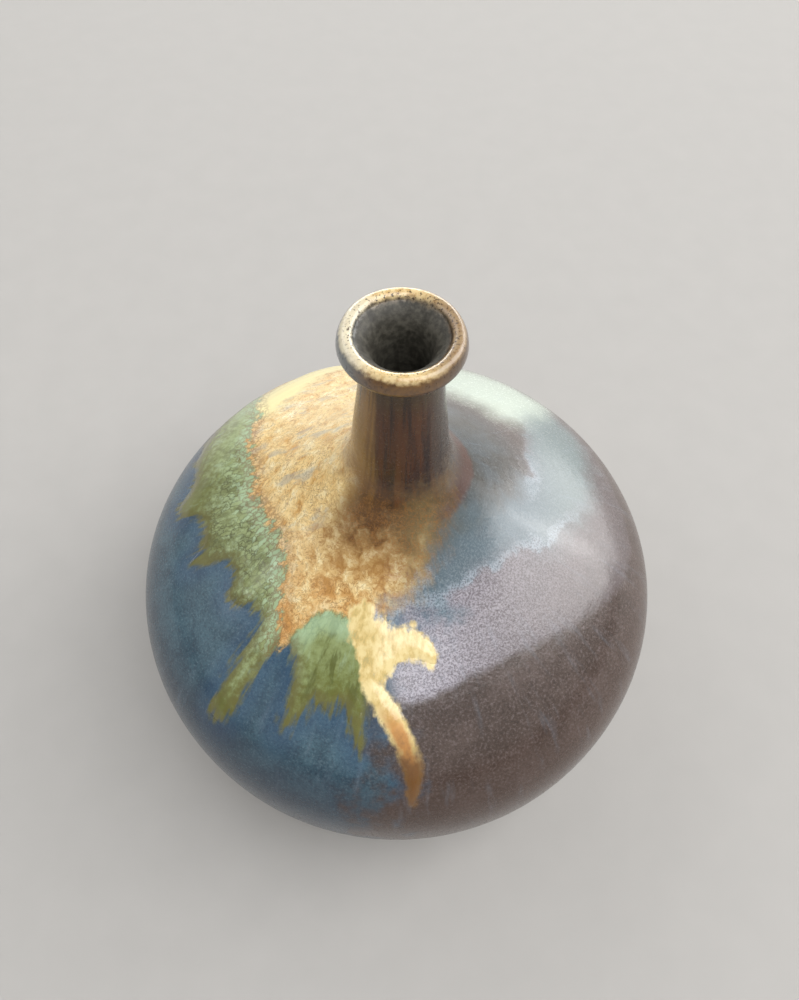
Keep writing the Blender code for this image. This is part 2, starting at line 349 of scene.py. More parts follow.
def make_coat():
    """The base glaze: a thin closed shell, fine outside and coarse on its hidden clay side."""
    start, end = 0, OUTSIDE_LENGTHS[-1] - BARE_BAND
    rows = int((end - start) / COAT_SPACING)
    outer = np.linspace(start, end, rows)
    inner = np.linspace(end, start, 40)
    length = np.repeat(np.concatenate([outer, inner]), COAT_STEPS)
    depth = np.repeat(np.concatenate([np.zeros(rows), np.full(len(inner), -OUTER_GLAZE)]), COAT_STEPS)
    angle = np.tile(np.arange(COAT_STEPS) / COAT_STEPS * math.tau, rows + len(inner))
    # The glaze ends over the foot in a rolled edge, which dips and rises a little round the vase.
    roll = np.clip((length - end) / 0.0016 + 1, 0, 1)
    depth += np.where(depth == 0, 0.00012 * np.sin(roll * math.pi) - 0.0001 * roll ** 3, 0)
    drift = 0.0012 * np.sin(3 * angle + 1) + 0.0007 * np.sin(7 * angle)
    share = np.clip((length - EQUATOR_LENGTH) / (end - EQUATOR_LENGTH), 0, 1) ** 4
    length = length - (0.0012 + drift * 0.6) * share
    points = on_outside(angle, length, depth)
    coat = mesh_object("glaze_coat", points, loop_faces(rows + len(inner), COAT_STEPS, True))
    zone_attributes(coat.data, angle, length, points[:, 2])
    return coat


def make_pour():
    """The poured glaze: a closed lens on a square plan grid, proud of the coat and sunk into it at its edge."""
    half = BODY_RADIUS / MM
    ticks = np.arange(-half, half, POUR_CELL_MM)
    x, y = np.meshgrid(ticks, ticks, indexing="ij")
    places = np.stack([x.ravel(), y.ravel()], axis=1)
    distance = signed_distance(places, POUR_OUTLINE).reshape(x.shape)
    radius = np.hypot(x, y)
    root = COLLAR_RADIUS / MM + 0.6
    distance = np.minimum(distance, radius - root)
    corner = distance > -POUR_MARGIN_MM
    whole = corner[:-1, :-1] & corner[1:, :-1] & corner[1:, 1:] & corner[:-1, 1:]
    used = np.zeros_like(corner)
    for i, j in ((0, 0), (1, 0), (1, 1), (0, 1)):
        used[i:i + whole.shape[0], j:j + whole.shape[1]] |= whole
    index = np.full(corner.shape, -1)
    index[used] = np.arange(used.sum())
    top = np.stack([
        index[:-1, :-1][whole], index[1:, :-1][whole], index[1:, 1:][whole], index[:-1, 1:][whole],
    ], axis=1)
    # Edge points are drawn onto a line a little outside the visible edge, so the rim is smooth.
    gradient = np.stack(np.gradient(distance, POUR_CELL_MM), axis=-1)[used]
    gradient /= np.maximum(np.hypot(*gradient.T), 0.3)[:, None]
    reach = distance[used]
    edge = boundary_points(top, used.sum())
    shift = np.where(edge, np.clip(-POUR_MARGIN_MM * 0.7 - reach, -0.4, 0.4), 0)
    flat = np.stack([x[used], y[used]], axis=1) + gradient * shift[:, None]
    reach = reach + shift
    angle = np.arctan2(flat[:, 1], flat[:, 0])
    shoulder = (OUTSIDE_LENGTHS > NECK_TOP_HEIGHT - NECK_FOOT_HEIGHT) & (OUTSIDE_LENGTHS <= EQUATOR_LENGTH)
    length = np.interp(np.hypot(*flat.T) * MM, OUTSIDE[shoulder, 0], OUTSIDE_LENGTHS[shoulder])
    rise = np.clip(reach / POUR_ROUNDING_MM, 0, 1)
    tail = np.clip((np.hypot(*flat.T) - root) / POUR_TAIL_MM, 0, 1)
    swell = 1 + 0.25 * np.sin(flat[:, 0] * 0.55 + 1) * np.sin(flat[:, 1] * 0.43)
    tail = tail * tail * (3 - 2 * tail)
    height = POUR_HEIGHT_MM * swell * np.sin(rise * math.pi / 2) * tail - POUR_SINK_MM - POUR_ROOT_MM * (1 - tail)
    upper = on_outside(angle, length, height * MM)
    lower = on_outside(angle, length, np.full(len(length), -POUR_BACK_MM * MM))
    count = len(upper)
    rim = rim_edges(top)
    sides = np.stack([rim[:, 1], rim[:, 0], rim[:, 0] + count, rim[:, 1] + count], axis=1)
    faces = np.concatenate([top, top[:, ::-1] + count, sides])
    pour = mesh_object("poured_run", np.concatenate([upper, lower]), faces)
    zone_attributes(pour.data, np.tile(angle, 2), np.tile(length, 2), np.concatenate([upper, lower])[:, 2])
    return pour


def rim_edges(faces):
    """The edges that only one face has, in that face's own direction."""
    edges = np.concatenate([faces[:, [i, (i + 1) % 4]] for i in range(4)])
    keys = np.sort(edges, axis=1)
    _, first, counts = np.unique(keys, axis=0, return_index=True, return_counts=True)
    return edges[first[counts == 1]]


def boundary_points(faces, count):
    marked = np.zeros(count, bool)
    marked[rim_edges(faces).ravel()] = True
    return marked


def make_lip():
    """The rolled lip with its funnel, a closed ring with a slightly uneven brim."""
    foot = NECK_TOP_HEIGHT + GAP
    middle = np.array((LIP_OUTER_RADIUS, LIP_MIDDLE_HEIGHT))
    top = np.array((LIP_TOP_RADIUS, LIP_TOP_HEIGHT))
    mouth = np.array((MOUTH_RADIUS, MOUTH_HEIGHT))
    over = profile_curve(top, top + (0.001, 0), middle + (0, 0.0013), middle)
    under = profile_curve(middle, middle + (0, -0.0014), (NECK_TOP_RADIUS + 0.0013, foot), (NECK_TOP_RADIUS, foot))
    funnel = profile_curve(mouth, mouth + (-0.0014, -0.0011), (FUNNEL_RADIUS + 0.00055, foot + 0.0022), (FUNNEL_RADIUS, foot))
    brim = profile_curve(mouth, mouth + (0.0001, 0.0006), top - (0.0007, 0), top)
    outside = resampled(joined(over, under), 0.00022)
    bottom = np.linspace((NECK_TOP_RADIUS, foot), (FUNNEL_RADIUS, foot), 5)
    inside = resampled(joined(funnel[::-1], brim), 0.00022)
    profile = joined(outside, bottom, inside)[:-1]
    points, angle = turned_points(profile, LIP_STEPS)
    level = points[:, 2]
    share = np.clip((level - foot) / (LIP_TOP_HEIGHT - foot), 0, 1)
    dip = 0.00007 * (1 + np.sin(2 * angle + 0.4)) + 0.00003 * (1 + np.sin(5 * angle))
    points[:, 2] -= dip * share ** 2
    swell = 1 - share * (0.004 * (1 + np.sin(3 * angle + 2)) + 0.002 * (1 + np.sin(7 * angle)))
    points[:, :2] *= swell[:, None]
    lip = mesh_object("rolled_lip", points, loop_faces(len(profile), LIP_STEPS, True))
    lip.data.set_sharp_from_angle(angle=math.radians(50))
    radius = np.repeat(profile[:, 0], LIP_STEPS) / MM
    inner = np.concatenate([np.zeros(len(outside) - 1), np.ones(len(profile) - len(outside) + 1)])
    set_attribute(lip.data, "radius_mm", radius)
    set_attribute(lip.data, "level_mm", points[:, 2] / MM)
    set_attribute(lip.data, "inside", np.repeat(inner, LIP_STEPS))
    set_attribute(lip.data, "around", np.stack([np.cos(angle), np.sin(angle), np.zeros_like(angle)], axis=1))
    return lip


def turned_object(name, profile, steps):
    """A closed solid turned from a profile whose ends may lie on the axis."""
    on_axis = [i for i in (0, len(profile) - 1) if profile[i, 0] < 1e-9]
    rings = np.delete(profile, on_axis, axis=0)
    points, _ = turned_points(rings, steps)
    closed = not on_axis
    faces = [tuple(face) for face in loop_faces(len(rings), steps, closed)]
    points = points.tolist()
    around = np.arange(steps)
    for i in on_axis:
        tip = len(points)
        points.append((0, 0, profile[i, 1]))
        base = 0 if i == 0 else (len(rings) - 1) * steps
        ring = base + around
        beside = base + (around + 1) % steps
        pairs = (beside, ring) if i == 0 else (ring, beside)
        faces += [(tip, int(a), int(b)) for a, b in zip(pairs[1], pairs[0], strict=True)]
    mesh = bpy.data.meshes.new(name)
    mesh.from_pydata(points, [], faces)
    mesh.shade_smooth()
    tidy = bmesh.new()
    tidy.from_mesh(mesh)
    bmesh.ops.recalc_face_normals(tidy, faces=tidy.faces)
    tidy.to_mesh(mesh)
    tidy.free()
    mesh.set_sharp_from_angle(angle=math.radians(50))
    obj = bpy.data.objects.new(name, mesh)
    bpy.context.scene.collection.objects.link(obj)
    return obj


def inner_profile():
    """The visible inside, from under the lip down the bore and the hollow to the floor's middle."""
    body = OUTSIDE - outward(OUTSIDE) * BODY_WALL
    body = body[OUTSIDE_LENGTHS > EQUATOR_LENGTH * 0.44]
    body = body[np.hypot(body[:, 0] - COLLAR_RADIUS, body[:, 1] - COLLAR_HEIGHT) > BODY_WALL]
    bore_end = np.array((BORE_RADIUS, BORE_END_HEIGHT))
    neck = profile_curve(
        (FUNNEL_RADIUS, NECK_TOP_HEIGHT), (FUNNEL_RADIUS - 0.0006, NECK_TOP_HEIGHT - 0.0025),
        (BORE_RADIUS, BORE_TOP_HEIGHT), bore_end,
    )
    into_body = (body[0] - body[1]) / np.hypot(*(body[0] - body[1])) * 0.005
    collar = profile_curve(bore_end, bore_end - (0, 0.005), body[0] + into_body, body[0])
    floor = np.array([body[-1], (0, body[-1, 1] + 0.0002)])
    return joined(neck, collar, body, floor)


def make_liner():
    visible = resampled(inner_profile(), 0.0009)
    visible[0, 1] += SHOWN_GAP
    back = visible + outward(visible) * LINER_GLAZE
    back[-1, 0] = 0
    visible[-1, 0] = 0
    return turned_object("liner_coat", np.concatenate([visible[::-1], back]), CLAY_STEPS)


def make_foot():
    """The trimmed foot ring with softly rounded treads."""
    outer = profile_curve(
        (FOOT_OUTER_RADIUS, FOOT_EDGE), (FOOT_OUTER_RADIUS, FOOT_EDGE / 2),
        (FOOT_OUTER_RADIUS - FOOT_EDGE / 2, 0), (FOOT_OUTER_RADIUS - FOOT_EDGE, 0), 10,
    )
    inner = profile_curve(
        (FOOT_INNER_RADIUS + FOOT_EDGE, 0), (FOOT_INNER_RADIUS + FOOT_EDGE / 2, 0),
        (FOOT_INNER_RADIUS, FOOT_EDGE / 2), (FOOT_INNER_RADIUS, FOOT_EDGE), 10,
    )
    wall = np.linspace((FOOT_OUTER_RADIUS, FOOT_HEIGHT), (FOOT_OUTER_RADIUS, FOOT_EDGE), 12)
    tread = np.linspace(outer[-1], inner[0], 12)
    back = np.linspace(inner[-1], (FOOT_INNER_RADIUS, FOOT_HEIGHT), 12)
    top = np.linspace(back[-1], wall[0], 12)
    profile = joined(wall, outer, tread, inner, back, top)[:-1]
    return turned_object("trimmed_foot", profile, CLAY_STEPS)


def make_bare_bowl():
    """The lower clay wall and floor, seen as the bare band over the foot and inside the recess."""
    seat = FOOT_HEIGHT + GAP
    clay = OUTSIDE - OUTSIDE_NORMALS * (OUTER_GLAZE + GAP)
    clay = clay[(OUTSIDE_LENGTHS > EQUATOR_LENGTH + GAP) & (clay[:, 1] > seat + GAP)]
    lining = inner_profile()
    lining = lining + outward(lining) * (LINER_GLAZE + GAP)
    lining[-1, 0] = 0
    lining = lining[lining[:, 1] < EQUATOR_HEIGHT - GAP]
    lining = lining[:: max(len(lining) // 70, 1)]
    lining = np.concatenate([lining, [(0, lining[-1, 1])]]) if lining[-1, 0] else lining
    under = np.array([
        (BOWL_END_RADIUS, seat), (FOOT_INNER_RADIUS - GAP, seat),
        (FOOT_INNER_RADIUS - GAP, FLOOR_UNDERSIDE), (0, FLOOR_UNDERSIDE),
    ])
    profile = np.concatenate([lining[::-1], clay[::8], under])
    return turned_object("bare_bowl", profile, CLAY_STEPS)


def make_floor():
    """A wide round floor that sweeps up into a low wall all round, past the lights."""
    centre = np.array((COVE_RADIUS - COVE_SWEEP, COVE_SWEEP))
    turn = np.linspace(-math.pi / 2, 0, 24)
    sweep = centre + COVE_SWEEP * np.stack([np.cos(turn), np.sin(turn)], axis=1)
    flat = np.stack([np.linspace(0.02, centre[0], 40), np.zeros(40)], axis=1)
    profile = joined(flat, sweep, np.array([sweep[-1], (COVE_RADIUS, COVE_WALL)]))
    points, _ = turned_points(profile, 96)
    faces = [tuple(face) for face in loop_faces(len(profile), 96, False)[:, ::-1].tolist()]
    floor = mesh_object("floor", points, np.array(faces))
    cap = bmesh.new()
    cap.from_mesh(floor.data)
    bmesh.ops.holes_fill(cap, edges=[edge for edge in cap.edges if edge.is_boundary and edge.verts[0].co.length < 0.03], sides=96)
    bmesh.ops.recalc_face_normals(cap, faces=cap.faces)
    cap.to_mesh(floor.data)
    cap.free()
    return floor


def linear(colour):
    """Linear colour from an everyday 0 to 255 colour."""
    shares = [channel / 255 for channel in colour]
    return tuple(c / 12.92 if c <= 0.04045 else ((c + 0.055) / 1.055) ** 2.4 for c in shares) + (1,)


class Shades:
    """A material under construction, with one short call for each kind of node."""

    def __init__(self, name):
        self.material = bpy.data.materials.new(name)
        self.material.use_nodes = True
        self.nodes = self.material.node_tree.nodes
        self.links = self.material.node_tree.links
        self.shader = self.nodes["Principled BSDF"]

    def put(self, socket, value):
        if isinstance(value, bpy.types.NodeSocket):
            self.links.new(value, socket)
        elif value is not None:
            socket.default_value = value

    def attribute(self, name, vector=False):
        node = self.nodes.new("ShaderNodeAttribute")
        node.attribute_name = name
        return node.outputs["Vector" if vector else "Fac"]

    def place(self):
        return self.nodes.new("ShaderNodeTexCoord").outputs["Object"]

    def scaled(self, vector, scale):
        node = self.nodes.new("ShaderNodeVectorMath")
        node.operation = "MULTIPLY"
        self.put(node.inputs[0], vector)
        node.inputs[1].default_value = scale
        return node.outputs[0]

    def shifted(self, vector, offset, amount):
        """A vector pushed about by a colour texture, by this amount each way."""
        centre = self.nodes.new("ShaderNodeVectorMath")
        centre.operation = "SUBTRACT"
        self.put(centre.inputs[0], offset)
        centre.inputs[1].default_value = (0.5, 0.5, 0.5)
        node = self.nodes.new("ShaderNodeVectorMath")
        node.operation = "MULTIPLY_ADD"
        self.put(node.inputs[0], centre.outputs[0])
        node.inputs[1].default_value = (amount, amount, amount)
        self.put(node.inputs[2], vector)
        return node.outputs[0]

    def part(self, vector, axis):
        node = self.nodes.new("ShaderNodeSeparateXYZ")
        self.put(node.inputs[0], vector)
        return node.outputs[axis]

    def noise(self, vector, scale, detail=3.0, roughness=0.5, distortion=0.0, colour=False):
        node = self.nodes.new("ShaderNodeTexNoise")
        self.put(node.inputs["Vector"], vector)
        node.inputs["Scale"].default_value = scale
        node.inputs["Detail"].default_value = detail
        node.inputs["Roughness"].default_value = roughness
        node.inputs["Distortion"].default_value = distortion
        return node.outputs["Color" if colour else "Fac"]

    def cells(self, vector, scale, feature="F1", smooth=0.0):
        node = self.nodes.new("ShaderNodeTexVoronoi")
        node.feature = feature
        self.put(node.inputs["Vector"], vector)
        node.inputs["Scale"].default_value = scale
        if feature == "SMOOTH_F1":
            node.inputs["Smoothness"].default_value = smooth
        return node.outputs["Distance"]

    def tiles(self, vector):
        """A random number for each cell of a mosaic, and the distance to that cell's edge."""
        node = self.nodes.new("ShaderNodeTexVoronoi")
        self.put(node.inputs["Vector"], vector)
        node.inputs["Scale"].default_value = 1
        return self.part(node.outputs["Color"], "X"), self.cells(vector, 1, "DISTANCE_TO_EDGE")

    def math(self, operation, first, second=None, third=None, clamp=False):
        node = self.nodes.new("ShaderNodeMath")
        node.operation = operation
        node.use_clamp = clamp
        for socket, value in zip(node.inputs, (first, second, third), strict=True):
            self.put(socket, value)
        return node.outputs[0]

    def add(self, *values):
        total = values[0]
        for value in values[1:]:
            total = self.math("ADD", total, value)
        return total

    def times(self, *values):
        total = values[0]
        for value in values[1:]:
            total = self.math("MULTIPLY", total, value)
        return total

    def ease(self, value, low, high):
        """0 below low, 1 above high, and a smooth step between; low may be the larger."""
        node = self.nodes.new("ShaderNodeMapRange")
        node.interpolation_type = "SMOOTHSTEP"
        self.put(node.inputs["Value"], value)
        node.inputs["From Min"].default_value = min(low, high)
        node.inputs["From Max"].default_value = max(low, high)
        node.inputs["To Min"].default_value = 0 if low < high else 1
        node.inputs["To Max"].default_value = 1 if low < high else 0
        return node.outputs["Result"]

    def spread(self, value, low, high, to_low, to_high):
        node = self.nodes.new("ShaderNodeMapRange")
        self.put(node.inputs["Value"], value)
        node.inputs["From Min"].default_value = low
        node.inputs["From Max"].default_value = high
        node.inputs["To Min"].default_value = to_low
        node.inputs["To Max"].default_value = to_high
        return node.outputs["Result"]

    def mix(self, share, first, second, kind="MIX"):
        node = self.nodes.new("ShaderNodeMix")
        node.data_type = "RGBA"
        node.blend_type = kind
        self.put(node.inputs["Factor"], share)
        for socket, value in ((node.inputs[6], first), (node.inputs[7], second)):
            self.put(socket, linear(value) if isinstance(value, tuple) else value)
        return node.outputs[2]

    def bump(self, height, distance, strength=1.0, under=None):
        node = self.nodes.new("ShaderNodeBump")
        self.put(node.inputs["Height"], height)
        node.inputs["Distance"].default_value = distance
        node.inputs["Strength"].default_value = strength
        self.put(node.inputs["Normal"], under)
        return node.outputs["Normal"]

    def finish(self, colour, roughness, normal=None):
        self.put(self.shader.inputs["Base Color"], colour)
        self.put(self.shader.inputs["Roughness"], roughness)
        self.put(self.shader.inputs["Normal"], normal)
        self.put(self.shader.inputs["Coat Normal"], normal)
        return self.material


def ridge(s, noise, width):
    """Thin wandering lines where a noise crosses its middle."""
    away = s.math("ABSOLUTE", s.math("SUBTRACT", noise, 0.5))
    return s.ease(away, width, 0.0)


def base_colour(s, place, flow):
    """The satin base: slate blue at the left and front, mauve brown at the right, with a pale halo."""
    speckle = s.noise(place, 1.9, 2.0, 0.6)
    grain = s.noise(place, 1.9, 4.0, 0.72)
    mottle = s.noise(place, 0.16, 4.0, 0.6)
    drift = s.spread(mottle, 0.3, 0.7, -1, 1)
    radius = s.attribute("plan_radius")
    facing = s.part(s.attribute("around", True), "Y")
    mauve = s.mix(s.ease(mottle, 0.35, 0.65), (66, 52, 45), (80, 66, 60))
    mauve = s.mix(s.times(s.ease(speckle, 0.5, 0.7), 0.5), mauve, (116, 104, 104))
    mauve = s.mix(s.times(s.ease(speckle, 0.47, 0.32), 0.5), mauve, (40, 30, 26))
    grit = s.noise(place, 2.5, 3.0, 0.7)
    # A painted reflection of a window: inside this band the mauve turns a lighter speckled lilac, lightest towards
    # the left.
    painted_reflection = s.mix(s.ease(grit, 0.36, 0.64), (92, 85, 91), (164, 158, 167))
    bright_painted_reflection = s.mix(s.ease(grit, 0.36, 0.64), (112, 107, 116), (182, 178, 189))
    painted_reflection = s.mix(s.ease(s.part(s.attribute("plan", True), "X"), 26, 4), painted_reflection, bright_painted_reflection)
    in_painted_reflection = s.ease(s.add(s.attribute("painted_reflection_mm"), s.times(drift, 0.6)), -0.9, 1.2)
    painted_reflection_share = s.spread(s.part(s.attribute("plan", True), "X"), 8, 40, 0.92, 0.2)
    mauve = s.mix(s.times(in_painted_reflection, painted_reflection_share), mauve, painted_reflection)
    blue = s.mix(s.ease(mottle, 0.3, 0.7), (40, 70, 86), (68, 100, 114))
    blue = s.mix(s.times(s.ease(speckle, 0.5, 0.72), 0.5), blue, (98, 124, 136))
    blue = s.mix(s.times(s.ease(speckle, 0.47, 0.34), 0.45), blue, (22, 38, 56))
    blue = s.mix(s.times(s.ease(s.attribute("pour_mm"), -6, -0.5), 0.45), blue, (34, 72, 108))
    # Painted shade and a painted brown reflection: the blue and the mauve darken towards and past the widest line,
    # the mauve turning browner.
    far = s.ease(radius, 49, 62)
    blue = s.mix(s.times(far, 0.75), blue, (30, 36, 54))
    mauve = s.mix(s.times(far, 0.6), mauve, (70, 46, 34))
    blue_edge = s.add(s.attribute("blue_mm"), s.times(drift, s.spread(radius, 45, 60, 5, 9)))
    colour = s.mix(s.ease(blue_edge, -8, 6), mauve, blue)
    not_blue = s.ease(s.attribute("blue_mm"), 2, -6)
    clouds = s.noise(place, 0.45, 4.0, 0.65)
    grey = s.mix(s.ease(facing, 0.1, -0.7), (56, 55, 50), (84, 92, 92))
    grey = s.mix(s.times(s.ease(clouds, 0.55, 0.35), 0.5), grey, (40, 38, 32))
    grey = s.mix(s.times(s.ease(mottle, 0.35, 0.65), 0.5), grey, (78, 92, 100))
    grey = s.mix(s.times(s.ease(grain, 0.5, 0.68), 0.35), grey, (118, 124, 126))
    grey_radius = s.add(radius, s.times(s.ease(facing, 0.1, -0.7), 6))
    colour = s.mix(s.times(s.ease(grey_radius, 33, 22), not_blue, 0.92), colour, grey)
    pale = s.mix(s.ease(radius, 24, 40), (78, 98, 108), (106, 122, 122))
    pale = s.mix(s.times(s.ease(grit, 0.44, 0.66), s.spread(radius, 24, 38, 0.3, 0.5)), pale, (140, 156, 162))
    pale_edge = s.add(s.attribute("pale_mm"), s.times(drift, 2))
    across = s.part(s.attribute("plan", True), "X")
    outer_side = s.ease(s.add(radius, s.times(across, -0.35)), 16.5, 19)
    crisp = s.times(outer_side, s.ease(across, 36, 22))
    clear = s.times(s.ease(pale_edge, -1.4, 1.8), crisp)
    blurred = s.times(s.ease(pale_edge, -5, 4), s.math("SUBTRACT", 1, crisp))
    colour = s.mix(s.times(s.add(clear, blurred), 0.85), colour, pale)
    # A painted glint: a bright speckled line along the outer edge of the halo, at the front and the right.
    painted_glint = s.times(s.ease(pale_edge, -1.2, 0.2), s.ease(pale_edge, 2.6, 0.2), s.ease(grit, 0.34, 0.6))
    painted_glint = s.times(painted_glint, not_back(s), outer_side, s.ease(across, 44, 32), 0.5)
    colour = s.mix(painted_glint, colour, (170, 184, 196))
    # Painted highlight: the white rim behind the neck on the right is partly the glaze's own pale colour, partly a
    # painted window highlight.
    white_and_highlight_edge = s.add(s.attribute("white_and_highlight_mm"), s.times(drift, 1.2))
    colour = s.mix(s.times(s.ease(white_and_highlight_edge, -8, 2.5), 0.9), colour, (192, 204, 190))
    arc_edge = s.add(radius, s.times(drift, 0.5))
    arc = s.times(s.ease(arc_edge, 9, 13), s.ease(arc_edge, 14.8, 13.6))
    colour = s.mix(s.times(arc, not_blue, 0.7), colour, (84, 50, 38))
    streak = s.noise(s.scaled(flow, (1, 1, 0.1)), 0.7, 3.0, 0.6)
    return s.mix(s.times(s.ease(streak, 0.55, 0.8), 0.14), colour, (150, 164, 180))


def not_back(s):
    """1 at the front and the right, falling to 0 behind the neck."""
    return s.ease(s.part(s.attribute("plan", True), "Y"), 18, 6)


def green_colour(s, place, flow, boundary, tile, tile_edge):
    """The green sheet: mint scales beside the tan pool, olive at its outer edge and between the scales."""
    streaks = s.noise(s.scaled(flow, (1, 1, 0.22)), 0.6, 4.0, 0.6)
    grain = s.noise(place, 0.7, 4.0, 0.6)
    mint_share = s.ease(s.add(s.attribute("tan_mm"), s.spread(grain, 0.3, 0.7, -4, 4)), -14, -2)
    lobe = s.ease(s.part(s.attribute("plan", True), "Y"), -26, -31)
    lobe = s.times(lobe, s.ease(s.part(s.attribute("plan", True), "X"), -24, -20))
    mint_share = s.times(mint_share, s.spread(lobe, 0, 1, 1, 0.7))
    scaly = s.times(s.spread(lobe, 0, 1, 1, 0.15), s.ease(s.attribute("plan_radius"), 46, 38))
    green = s.mix(mint_share, (108, 114, 53), (158, 174, 120))
    green = s.mix(s.times(s.ease(tile, 0.4, 1), mint_share, scaly, 0.5), green, (180, 204, 166))
    green = s.mix(s.times(s.ease(tile, 0.5, 0), scaly, 0.35), green, (122, 130, 76))
    green = s.mix(s.times(s.ease(streaks, 0.5, 0.36), s.spread(lobe, 0, 1, 0.5, 0.8)), green, (88, 94, 40))
    green = s.mix(s.times(s.ease(streaks, 0.56, 0.72), 0.4), green, (170, 194, 158))
    broken = s.ease(s.noise(place, 0.3, 2.0, 0.5), 0.36, 0.6)
    scales = s.times(s.ease(tile_edge, 0.17, 0.0), s.spread(broken, 0, 1, 0.35, 0.85), scaly)
    green = s.mix(scales, green, (70, 74, 28))
    tongues = s.times(s.ease(boundary, -4.5, -1.6), s.ease(boundary, 0.2, -0.8))
    green = s.mix(s.times(tongues, 0.55), green, (178, 208, 170))
    edge = s.ease(s.add(s.attribute("pour_mm"), s.spread(grain, 0.3, 0.7, -1, 1)), 3.6, 0.2)
    return s.mix(s.times(edge, 0.75), green, (98, 92, 34))


def tan_colour(s, place, flow):
    """The tan pool: cream curds netted with fine brown veins, dark amber in front of the neck."""
    warp = s.shifted(place, s.noise(place, 0.3, 3.0, 0.6, colour=True), 4.0)
    curds = s.noise(warp, 0.3, 5.0, 0.62)
    tan = s.mix(s.ease(curds, 0.3, 0.52), (218, 168, 90), (248, 218, 152))
    tan = s.mix(s.times(s.ease(curds, 0.5, 0.68), 0.85), tan, (255, 241, 194))
    rim = s.ease(s.attribute("tan_mm"), 4.0, 0.3)
    tan = s.mix(s.times(rim, 0.35), tan, (204, 150, 84))
    across = s.part(s.attribute("plan", True), "X")
    lower = s.ease(s.part(s.attribute("plan", True), "Y"), -8, -23)
    tan = s.mix(s.times(lower, s.ease(curds, 0.62, 0.4), 0.6), tan, (206, 148, 80))
    radius = s.add(s.attribute("plan_radius"), s.spread(curds, 0.3, 0.7, -3, 3))
    front = s.ease(s.part(s.attribute("around", True), "Y"), -0.4, -0.85)
    tan = s.mix(s.times(s.ease(radius, 27, 17), front, 0.7), tan, (134, 92, 30))
    tan = s.mix(s.times(s.ease(radius, 20, 13), front, 0.9), tan, (70, 37, 0))
    tan = s.mix(s.times(s.ease(across, -4, 6), front, 0.6), tan, (122, 112, 76))
    tan = s.mix(s.times(s.ease(across, 4, 10), 0.85), tan, (88, 76, 56))
    veins = ridge(s, s.noise(warp, 0.34, 4.0, 0.62), 0.018)
    fine_veins = ridge(s, s.noise(warp, 0.8, 3.0, 0.55), 0.04)
    hairs = ridge(s, s.noise(warp, 1.5, 2.0, 0.5), 0.06)
    broken = s.ease(s.noise(place, 0.12, 3.0, 0.6), 0.36, 0.6)
    tan = s.mix(s.times(veins, 0.45), tan, (140, 94, 40))
    tan = s.mix(s.times(fine_veins, s.spread(broken, 0, 1, 0.35, 0.7)), tan, (146, 100, 48))
    tan = s.mix(s.times(hairs, s.spread(broken, 0, 1, 0.35, 0.15)), tan, (164, 118, 62))
    wisp = s.noise(s.shifted(s.scaled(place, (1, 2.2, 1)), s.noise(place, 0.2, 2.0, 0.5, colour=True), 3.0), 0.12, 3.0, 0.6)
    wisp_place = s.times(s.ease(across, -3, -11), s.ease(radius, 14, 19), s.ease(lower, 0.3, 0))
    tan = s.mix(s.times(s.ease(wisp, 0.52, 0.68), wisp_place, 0.5), tan, (166, 168, 162))
    # Painted highlight: the gold rim behind the neck on the left is partly the glaze's own cream colour, partly a
    # painted window highlight.
    gold_and_highlight_edge = s.add(s.attribute("gold_and_highlight_mm"), s.spread(curds, 0.3, 0.7, -1.5, 1.5))
    return s.mix(s.ease(gold_and_highlight_edge, -2.5, 1.5), tan, (246, 232, 166))


def cream_colour(s, place, flow):
    """The cream splash, whose long run darkens to orange in its core and brown at its end."""
    curds = s.noise(s.scaled(flow, (1, 1, 0.5)), 0.7, 4.0, 0.6)
    cream = s.mix(s.ease(curds, 0.34, 0.6), (214, 184, 112), (240, 220, 160))
    cream = s.mix(s.times(s.ease(curds, 0.45, 0.3), 0.5), cream, (176, 172, 128))
    low = s.ease(s.attribute("plan_radius"), 40, 46)
    core = s.ease(s.add(s.attribute("cream_mm"), s.spread(curds, 0.3, 0.7, -0.7, 0.7)), 0.1, 1.3)
    cream = s.mix(s.times(low, core, 0.85), cream, (204, 136, 64))
    tip = s.ease(s.add(s.attribute("plan_radius"), s.spread(curds, 0.3, 0.7, -2, 2)), 44.5, 52)
    return s.mix(s.times(tip, 0.95), cream, (104, 68, 28))


def neck_colour(s, place, flow):
    """Dark amber streaks at the front, olive at the left, mauve grey at the right and behind."""
    around = s.attribute("around", True)
    streaks = s.noise(s.scaled(flow, (1.1, 1.1, 0.22)), 0.2, 3.0, 0.5)
    fine = s.noise(place, 1.2, 4.0, 0.6)
    ragged = s.spread(streaks, 0.3, 0.7, -0.25, 0.25)
    colour = s.mix(s.ease(streaks, 0.32, 0.68), (30, 9, 0), (82, 42, 0))
    side = s.part(around, "X")
    colour = s.mix(s.ease(s.add(side, ragged), -0.35, -0.85), colour, (142, 104, 46))
    colour = s.mix(s.ease(s.add(side, ragged), 0.5, 0.9), colour, (60, 46, 36))
    back = s.ease(s.part(around, "Y"), 0.1, 0.7)
    colour = s.mix(s.times(back, 0.8), colour, (92, 80, 66))
    top = s.ease(s.add(s.attribute("level_mm"), s.times(ragged, 14)), 110, 117)
    colour = s.mix(s.times(top, 0.65), colour, (66, 54, 26))
    return s.mix(s.times(s.ease(fine, 0.55, 0.75), 0.18), colour, (140, 118, 80))


